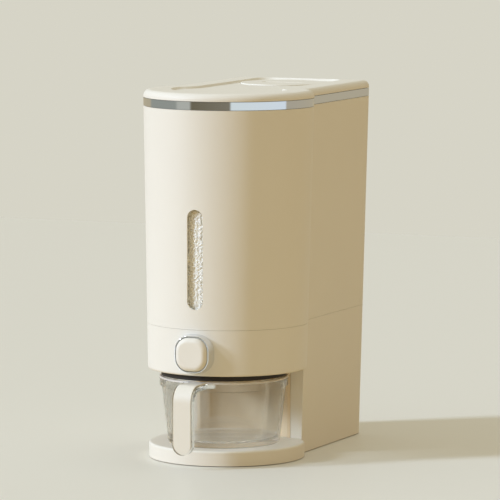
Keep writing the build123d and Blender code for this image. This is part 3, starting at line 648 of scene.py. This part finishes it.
@dataclass
class Button(Assembly):
    """Button that opens the gate: bezel, cap, rod, slide and return springs. Sizes in metres."""

    wire_r: float = 0.5 * MM
    coil_r: float = 3.4 * MM
    spread: float = 15.0 * MM
    turns: int = 6
    steps: int = 20
    wire_sides: int = 8

    def build(self) -> None:
        """Dress the button and the gate behind it, and wind the springs."""
        self.coat(Finishes.CHROME, "button_bezel")
        self.coat(Finishes.CREAM, "button_cap")
        self.coat(Finishes.NATURAL, "push_rod", "slide_gate")
        self._springs()

    def _springs(self) -> None:
        """Wind the two springs in place of the return springs; how far they would shorten at full press is
        worked out but not applied.
        """
        low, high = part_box("return_springs")
        level = (low[2] + high[2]) / 2
        wires = Skin()
        for side in (-1, 1):
            start = Vector((side * self.spread, low[1] + self.wire_r, level))
            wires.loft(self._coil(start, high[1] - low[1] - 2 * self.wire_r))
        piece = wires.piece("spring_coils", "housing", Finishes.STEEL)
        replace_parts(piece, "return_springs")
        travel = next(joint["range_m"][1] for joint in frame["joints"] if joint["name"] == "button_press")
        keep = 1 - travel / (high[1] - low[1])
        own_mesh(piece)

    def _coil(self, start: Vector, length: float) -> list[list[Vector]]:
        """Rings of a wire that is wound round an axis along Y.

        Args:
            start: front end of the axis.
            length: from the first to the last turn's middle.

        Returns:
            Rings of points round the wire.
        """
        rings = []
        for step in range(self.turns * self.steps + 1):
            angle = math.tau * step / self.steps
            out = Vector((math.cos(angle), 0.0, math.sin(angle)))
            along = Vector((0.0, length * step / (self.turns * self.steps), 0.0))
            middle = start + along + out * self.coil_r
            ring = []
            for side in range(self.wire_sides):
                roll = math.tau * side / self.wire_sides
                offset = out * math.cos(roll) + Vector((0.0, math.sin(roll), 0.0))
                ring.append(middle + offset * self.wire_r)
            rings.append(ring)
        return rings


@dataclass
class Cup(Assembly):
    """Clear measuring cup with its strap and inlay. Sizes in metres."""

    foot_r: float = 57.5 * MM
    wall: float = 2.4 * MM
    floor: float = 5.0 * MM
    collar_h: float = 8.0 * MM
    collar_out: float = 2.0 * MM
    foot_round: float = 3.0 * MM
    well_round: float = 6.0 * MM
    rim_round: float = 0.9 * MM
    lip_h: float = 2.0 * MM
    lip_gap: float = 0.02 * MM
    strap_edge: float = 0.6 * MM
    inlay_edge: float = 0.5 * MM
    around: int = 128
    round_steps: int = 6

    def build(self) -> None:
        """Turn the bowl, which stands for the plain one, and dress the handle."""
        low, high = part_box("measuring_cup")
        middle = Vector(((low[0] + high[0]) / 2, (low[1] + high[1]) / 2, 0.0))
        rim_r = (high[0] - low[0]) / 2
        bowl = Skin()
        bowl.turn(middle, self._profile(low[2], high[2] - self.lip_h, rim_r), self.around)
        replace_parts(bowl.piece("cup_bowl", "cup", Finishes.CLEAR), "measuring_cup")
        lip = Skin()
        lip.loft(self._lip_rings(middle, high[2], rim_r), close_ends=False)
        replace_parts(lip.piece("cup_lip", "cup", Finishes.RIM), "measuring_cup")
        self.coat(Finishes.HANDLE, "handle_strap")
        self.coat(Finishes.INLAY, "handle_inlay")
        self.soften("handle_strap", self.strap_edge)
        self.soften("handle_inlay", self.inlay_edge)

    def _profile(self, low: float, high: float, rim_r: float) -> list[Flat]:
        """Section of the bowl from the middle of its foot round to the middle of its floor.

        Args:
            low: level of the foot.
            high: level of the rim.
            rim_r: radius outside the rim.

        Returns:
            Radius and level of each point.
        """
        neck_r = rim_r - self.collar_out
        corners = [
            (self.foot_r, low, self.foot_round),
            (neck_r, high - self.collar_h, self.rim_round),
            (rim_r, high - self.collar_h, self.rim_round),
            (rim_r, high, self.rim_round),
            (neck_r - self.wall, high, self.rim_round),
            (self.foot_r - self.wall, low + self.floor, self.well_round),
        ]
        points = [(0.0, low)]
        ends = [(0.0, low), *[(r, z) for r, z, _ in corners], (0.0, low + self.floor)]
        for place, (r, z, bend) in enumerate(corners, start=1):
            points += self._rounded(ends[place - 1], (r, z), ends[place + 1], bend)
        return [*points, (0.0, low + self.floor)]

    def _lip_rings(self, middle: Vector, high: float, rim_r: float) -> list[list[Vector]]:
        """Rings of the satin lip on top of the bowl.

        Args:
            middle: where the cup's axis stands.
            high: level of the top of the lip.
            rim_r: radius outside the rim.

        Returns:
            The rings, from the outside over the top and back to the first.
        """
        low = high - self.lip_h + self.lip_gap
        inner_r = rim_r - self.collar_out - self.wall
        section = [(rim_r, low)]
        section += self._rounded((rim_r, low), (rim_r, high), (inner_r, high), self.rim_round)
        section += self._rounded((rim_r, high), (inner_r, high), (inner_r, low), self.rim_round)
        section += [(inner_r, low), (rim_r, low)]
        turns = [math.tau * n / self.around for n in range(self.around)]
        return [[middle + Vector((r * math.cos(a), r * math.sin(a), z)) for a in turns] for r, z in section]

    def _rounded(self, before: Flat, corner: Flat, after: Flat, bend: float) -> list[Flat]:
        """Points of a smooth bend in place of a corner.

        Args:
            before: the corner before it.
            corner: the corner.
            after: the corner after it.
            bend: how far from the corner the bend starts and ends.

        Returns:
            The bend's points, both ends included.
        """
        here = Vector(corner)
        start = here + (Vector(before) - here).normalized() * bend
        end = here + (Vector(after) - here).normalized() * bend
        shares = [step / self.round_steps for step in range(self.round_steps + 1)]
        return [tuple(start.lerp(here, s).lerp(here.lerp(end, s), s)) for s in shares]


@dataclass(frozen=True)
class Plan:
    """Plan of the tank: a round front that turns in to a narrower box. Sizes in metres."""

    drum_half: float = 89.5 * MM
    step_in: float = 13.0 * MM
    front: float = 92.0 * MM
    back: float = 195.0 * MM
    corner_r: float = 36.0 * MM
    crease_r: float = 3.0 * MM
    rear_r: float = 9.0 * MM
    least_r: float = 1.0 * MM
    lean: float = 0.029
    on_axis: float = 0.01 * MM
    front_steps: int = 24
    corner_steps: int = 8
    bend_steps: int = 6

    @property
    def axis_y(self) -> float:
        """Where the drum's axis stands."""
        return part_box("trim_ring")[0][1] + self.front

    def half_at(self, level: float) -> float:
        """Half width of the drum at a level."""
        return self.drum_half - self.lean * (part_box("trim_ring")[1][2] - level)

    def front_circle(self, level: float) -> tuple[float, float]:
        """The round front at a level.

        Args:
            level: height above the floor.

        Returns:
            Its radius, and the Y of its centre.
        """
        corner_x = self.half_at(level) - self.corner_r
        radius = (self.front**2 + corner_x**2 - self.corner_r**2) / (2 * (self.front - self.corner_r))
        return radius, self.axis_y - self.front + radius

    def ring(self, level: float, inset: float) -> list[Vector]:
        """Closed ring of points, inset inside the outer skin at a level.

        Args:
            level: height of the ring.
            inset: distance inside the outer skin.

        Returns:
            The points, from the front round by the +X side.
        """
        corner_x = self.half_at(level) - self.corner_r
        radius, centre_y = self.front_circle(level)
        reach = self.corner_r - self.step_in + self.crease_r
        depth = math.sqrt((self.corner_r + self.crease_r) ** 2 - reach**2)
        start = math.atan2(self.front - radius, corner_x)
        turn = math.atan2(depth, reach)
        side = self.half_at(level) - self.step_in - inset
        rear = self.axis_y + self.back - inset
        bend = max(self.rear_r - inset, self.least_r)
        half = self._arc((0.0, centre_y), radius - inset, -math.pi / 2, start, self.front_steps)
        half += self._arc((corner_x, self.axis_y), self.corner_r - inset, start, turn, self.corner_steps)
        crease = (corner_x + reach, self.axis_y + depth)
        half += self._arc(crease, self.crease_r + inset, turn + math.pi, math.pi, self.bend_steps)
        half += self._arc((side - bend, rear - bend), bend, 0.0, math.pi / 2, self.bend_steps)
        mirrored = [(-x, y) for x, y in reversed(half) if x > self.on_axis]
        return [Vector((x, y, level)) for x, y in half + mirrored]

    @staticmethod
    def _arc(centre: Flat, radius: float, first: float, last: float, steps: int) -> list[Flat]:
        """Points of an arc, both ends included."""
        turns = [first + (last - first) * step / steps for step in range(steps + 1)]
        return [(centre[0] + radius * math.cos(a), centre[1] + radius * math.sin(a)) for a in turns]


PLAN = Plan()


@dataclass
class RiceStore:
    """Rice in the tank: the grains behind the window, and the top of the heap.

    Sizes are in metres and leans in radians.
    """

    grain_l: float = 5.4 * MM
    grain_w: float = 2.0 * MM
    grain_long: Flat = (0.85, 1.1)
    grain_wide: Flat = (0.88, 1.08)
    grain_blunt: float = 0.14
    grain_sides: int = 7
    grain_rings: int = 5

    window_half: float = 10.5 * MM
    window_low: float = 154.0 * MM
    window_high: float = 268.0 * MM
    lens_back: float = 4.6 * MM
    first_layer: float = 1.15 * MM
    layer_step: float = 1.0 * MM
    layers: int = 2
    columns: int = 5
    row_share: float = 0.95
    scatter: Flat = (0.2, 0.8)
    window_lean: float = 0.35

    backing_half: float = 14.0 * MM
    backing_front: float = 1.2 * MM
    backing_rear: float = 9.0 * MM
    backing_low: float = 150.0 * MM
    backing_step: float = 6.0 * MM
    backing_levels: int = 21

    top: float = 296.0 * MM
    heap_low: float = 274.0 * MM
    heap_inset: float = 3.4 * MM
    heap_behind: float = 45.0 * MM
    shoulder: float = 2.0 * MM
    crown: float = 7.0 * MM
    crown_shares: tuple[float, ...] = (0.96, 0.85, 0.7, 0.5, 0.3, 0.1)
    uneven: float = 1.0 * MM
    loose_grains: int = 1500
    loose_rise: Flat = (0.2 * MM, 1.2 * MM)
    loose_lean: float = 0.4
    seed: int = 7

    def __post_init__(self) -> None:
        """Shape the one grain that all the others copy."""
        self.grain = self._grain()

    def build(self) -> None:
        """Make all the rice."""
        draw = Random(self.seed)
        self._window(draw)
        self._backing()
        self._heap(draw)
        self._loose(draw)

    def _grain(self) -> tuple[list[Vector], list[Face]]:
        """One grain of unit length and width, standing on end, blunter below.

        Returns:
            Its points and its faces.
        """
        around = self.grain_sides
        points = [Vector((0, 0, -1))]
        for ring in range(1, self.grain_rings + 1):
            turn = math.pi * ring / (self.grain_rings + 1)
            width = math.sin(turn) * (1.0 + self.grain_blunt * math.cos(turn))
            for n in range(around):
                angle = math.tau * n / around
                points.append(Vector((width * math.cos(angle), width * math.sin(angle), -math.cos(turn))))
        points.append(Vector((0, 0, 1)))
        faces: list[Face] = []
        for n in range(around):
            after = (n + 1) % around
            faces.append((0, 1 + after, 1 + n))
            for ring in range(self.grain_rings - 1):
                low = 1 + ring * around
                faces.append((low + n, low + after, low + around + after, low + around + n))
            high = 1 + (self.grain_rings - 1) * around
            faces.append((high + n, high + after, len(points) - 1))
        return points, faces

    def _add_grain(self, skin: Skin, place: Vector, turn: Matrix, draw: Random) -> None:
        """Add one grain of slightly uneven size.

        Args:
            skin: what it is added to.
            place: its middle.
            turn: how it lies.
            draw: source of its unevenness.
        """
        long_half = self.grain_l / 2 * draw.uniform(*self.grain_long)
        wide_half = self.grain_w / 2 * draw.uniform(*self.grain_wide)
        points, faces = self.grain
        size = Vector((wide_half, wide_half, long_half))
        skin.add([place + turn @ (point * size) for point in points], faces)

    def _window(self, draw: Random) -> None:
        """Pack grains in layers against the lens.

        Args:
            draw: source of their places and turns.
        """
        grains = Skin()
        pitch = self.grain_w * self.row_share
        rows = int((self.window_high - self.window_low) / pitch)
        for layer in range(self.layers):
            depth = self.first_layer + layer * self.layer_step
            for row in range(rows):
                for column in range(self.columns):
                    x = self.window_half * (2 * (column + draw.uniform(*self.scatter)) / self.columns - 1)
                    z = self.window_low + (row + draw.uniform(*self.scatter)) * pitch
                    lean = Matrix.Rotation(draw.uniform(-self.window_lean, self.window_lean), 3, "X")
                    spin = Matrix.Rotation(draw.uniform(0.0, math.pi), 3, "Y")
                    place = Vector((x, self._behind_lens(x, z, depth), z))
                    self._add_grain(grains, place, spin @ lean, draw)
        grains.piece("rice_at_window", "housing", Finishes.RICE)

    def _backing(self) -> None:
        """Fill in more rice behind the grains at the window."""
        backing = Skin()
        across = [(share * self.backing_half, self.backing_front) for share in (-1.0, -0.5, 0.0, 0.5, 1.0)]
        across += [(share * self.backing_half, self.backing_rear) for share in (1.0, 0.0, -1.0)]
        levels = [self.backing_low + n * self.backing_step for n in range(self.backing_levels)]
        backing.loft(
            [[Vector((x, self._behind_lens(x, z, depth), z)) for x, depth in across] for z in levels]
        )
        backing.piece("rice_behind_window", "housing", Finishes.RICE)

    def _behind_lens(self, x: float, z: float, depth: float) -> float:
        """Y of a point behind the inside of the lens."""
        radius, centre_y = PLAN.front_circle(z)
        return centre_y - math.sqrt((radius - self.lens_back - depth) ** 2 - x**2)

    @property
    def heap_middle(self) -> Vector:
        """Where the heap is highest, at the level of its rim."""
        return Vector((0.0, PLAN.axis_y + self.heap_behind, self.top))

    def _heap(self, draw: Random) -> None:
        """Heap the rice in the tank, with an uneven top.

        Args:
            draw: source of the unevenness.
        """
        heap = Skin()
        middle = self.heap_middle
        rim = PLAN.ring(self.top, self.heap_inset)
        rings = [PLAN.ring(level, self.heap_inset) for level in (self.heap_low, self.top - self.shoulder)]
        for share in self.crown_shares:
            rise = (1 - share) * self.crown
            rings.append(
                [
                    middle.lerp(p, share) + Vector((0, 0, rise + draw.uniform(-1, 1) * self.uneven))
                    for p in rim
                ]
            )
        heap.loft(rings)
        heap.piece("rice_heap", "housing", Finishes.RICE)

    def _loose(self, draw: Random) -> None:
        """Strew loose grains over the heap.

        Args:
            draw: source of their places and turns.
        """
        loose = Skin()
        middle = self.heap_middle
        rim = PLAN.ring(self.top, self.heap_inset + self.grain_l / 2)
        for _ in range(self.loose_grains):
            share = math.sqrt(draw.random())
            place = middle.lerp(draw.choice(rim), share)
            place.z = self.top + (1 - share) * self.crown + draw.uniform(*self.loose_rise)
            spin = Matrix.Rotation(draw.uniform(0.0, math.tau), 3, "Z")
            lean = draw.uniform(-self.loose_lean, self.loose_lean)
            lying = Matrix.Rotation(math.pi / 2 + lean, 3, "X")
            self._add_grain(loose, place, spin @ lying, draw)
        loose.piece("rice_on_top", "housing", Finishes.RICE)


@dataclass(frozen=True)
class RoomSide:
    """A stretch of the room that bright metal mirrors, in degrees round from the front."""

    first: float
    last: float
    first_colour: Colour
    last_colour: Colour

    def stops(self) -> list[tuple[float, Colour]]:
        """Its two ends on a ramp that goes once round."""
        ends = ((self.first, self.first_colour), (self.last, self.last_colour))
        return [(degrees / 360 + 0.5, colour) for degrees, colour in ends]


@dataclass
class Studio:
    """Floor, lamps, surroundings and camera. Sizes in metres, turns in degrees."""

    floor_half: float = 2.2
    floor_colour: Colour = (0.815, 0.795, 0.706)
    floor_bounce: Colour = (0.66, 0.49, 0.235)
    backdrop: Colour = (0.674, 0.658, 0.568)
    eye: Point = (1.7847, -4.0677, 0.6617)
    target: Point = (0.02085, -0.0400, 0.2135)
    lens_mm: float = 308.95
    sensor_mm: float = 36.0
    key_azimuth: float = -51.0
    key_heights: tuple[float, ...] = (17.0, 22.0, 38.0)
    key_strength: float = 3.05
    key_spread: float = 7.0
    key_colour: Colour = (0.63, 0.765, 1.0)
    low_fill: Colour = (0.37, 0.24, 0.09)
    high_fill: Colour = (0.78, 0.79, 0.71)
    room: tuple[RoomSide, ...] = (
        RoomSide(-180, -110, (0.49, 0.434, 0.313), (0.49, 0.434, 0.313)),
        RoomSide(-104, -54, (0.32, 0.34, 0.31), (0.32, 0.34, 0.31)),
        RoomSide(-50, -32, (0.48, 0.49, 0.445), (0.48, 0.49, 0.445)),
        RoomSide(-29, 23, (0.17, 0.15, 0.10), (0.23, 0.21, 0.16)),
        RoomSide(25, 102, (0.74, 0.82, 0.84), (0.74, 0.82, 0.90)),
        RoomSide(104, 180, (0.45, 0.41, 0.33), (0.49, 0.434, 0.313)),
    )

    def build(self) -> None:
        """Set the whole studio up."""
        self._floor()
        self._key()
        self._surroundings()
        self._camera()
        bpy.context.scene.view_settings.view_transform = "Standard"

    def _floor(self) -> None:
        """Lay a plain pale floor under the feet."""
        mesh = bpy.data.meshes.new("floor")
        half = self.floor_half
        corners = [(-half, -half, 0.0), (half, -half, 0.0), (half, half, 0.0), (-half, half, 0.0)]
        mesh.from_pydata(corners, [], [(0, 1, 2, 3)])
        floor = bpy.data.objects.new("floor", mesh)
        bpy.context.scene.collection.objects.link(floor)
        mesh.materials.append(Worktop("pale_worktop", self.floor_colour, self.floor_bounce).material())

    def _key(self) -> None:
        """Hang the key lamps above each other, like a tall window to the left of the front."""
        turn = math.radians(self.key_azimuth)
        for height in self.key_heights:
            lamp = bpy.data.lights.new("key", "SUN")
            lamp.energy = self.key_strength / len(self.key_heights)
            lamp.angle = math.radians(self.key_spread)
            lamp.color = self.key_colour
            rise = math.radians(height)
            level = math.cos(rise)
            towards = Vector((math.sin(turn) * level, -math.cos(turn) * level, math.sin(rise)))
            placed = bpy.data.objects.new("key", lamp)
            placed.rotation_mode = "QUATERNION"
            placed.rotation_quaternion = towards.to_track_quat("Z", "Y")
            bpy.context.scene.collection.objects.link(placed)

    def _surroundings(self) -> None:
        """Warm light all round, paler above, a pale backdrop, and a room for bright metal to mirror."""
        world = bpy.data.worlds.new("studio")
        bpy.context.scene.world = world
        world.use_nodes = True
        sheet = ShaderSheet(world.node_tree)
        path = sheet.node("ShaderNodeLightPath")
        towards = sheet.node("ShaderNodeTexCoord")["Generated"]
        parts = sheet.node("ShaderNodeSeparateXYZ", {}, {"Vector": towards})
        rise = sheet.math("MAXIMUM", parts["Z"], 0.0)
        fill = self._glow(sheet, sheet.blend(rise, self.low_fill, self.high_fill))
        plain = self._glow(sheet, (*self.backdrop, 1.0))
        mirrored = self._glow(sheet, self._room(sheet, parts))
        seen = sheet.math("MAXIMUM", path["Is Camera Ray"], path["Is Transmission Ray"])
        light = sheet.mix(path["Is Glossy Ray"], sheet.mix(seen, fill, plain), mirrored)
        sheet.node("ShaderNodeOutputWorld", {}, {"Surface": light})

    @staticmethod
    def _glow(sheet: ShaderSheet, colour: object) -> Signal:
        """Light of a colour."""
        return sheet.node("ShaderNodeBackground", {}, {"Color": colour, "Strength": 1.0})["Background"]

    def _room(self, sheet: ShaderSheet, parts: NodeOutputs) -> Signal:
        """Colour of the room by the direction round the object: walls, and a bright window.

        Args:
            sheet: the world's nodes.
            parts: X, Y and Z of the direction.

        Returns:
            The colour.
        """
        turn = sheet.math("ARCTAN2", parts["X"], -1.0 * parts["Y"])
        stops = [stop for side in self.room for stop in side.stops()]
        share = turn * (1 / math.tau) + 0.5
        return sheet.node("ShaderNodeValToRGB", {"stops": stops}, {"Fac": share})["Color"]

    def _camera(self) -> None:
        """Stand the camera where the photograph was taken from."""
        lens = bpy.data.cameras.new("camera")
        lens.lens = self.lens_mm
        lens.sensor_width = self.sensor_mm
        camera = bpy.data.objects.new("camera", lens)
        camera.location = self.eye
        looking = Vector(self.target) - Vector(self.eye)
        camera.rotation_mode = "QUATERNION"
        camera.rotation_quaternion = looking.to_track_quat("-Z", "Y")
        bpy.context.scene.collection.objects.link(camera)
        bpy.context.scene.camera = camera


def main() -> None:
    """Build and dress every sub-assembly in order."""
    logging.basicConfig(level=logging.INFO, format="%(name)s: %(message)s")
    Housing().dress()
    Lid().dress()
    Button().build()
    Cup().build()
    RiceStore().build()
    Studio().build()


if __name__ == "__main__":
    main()
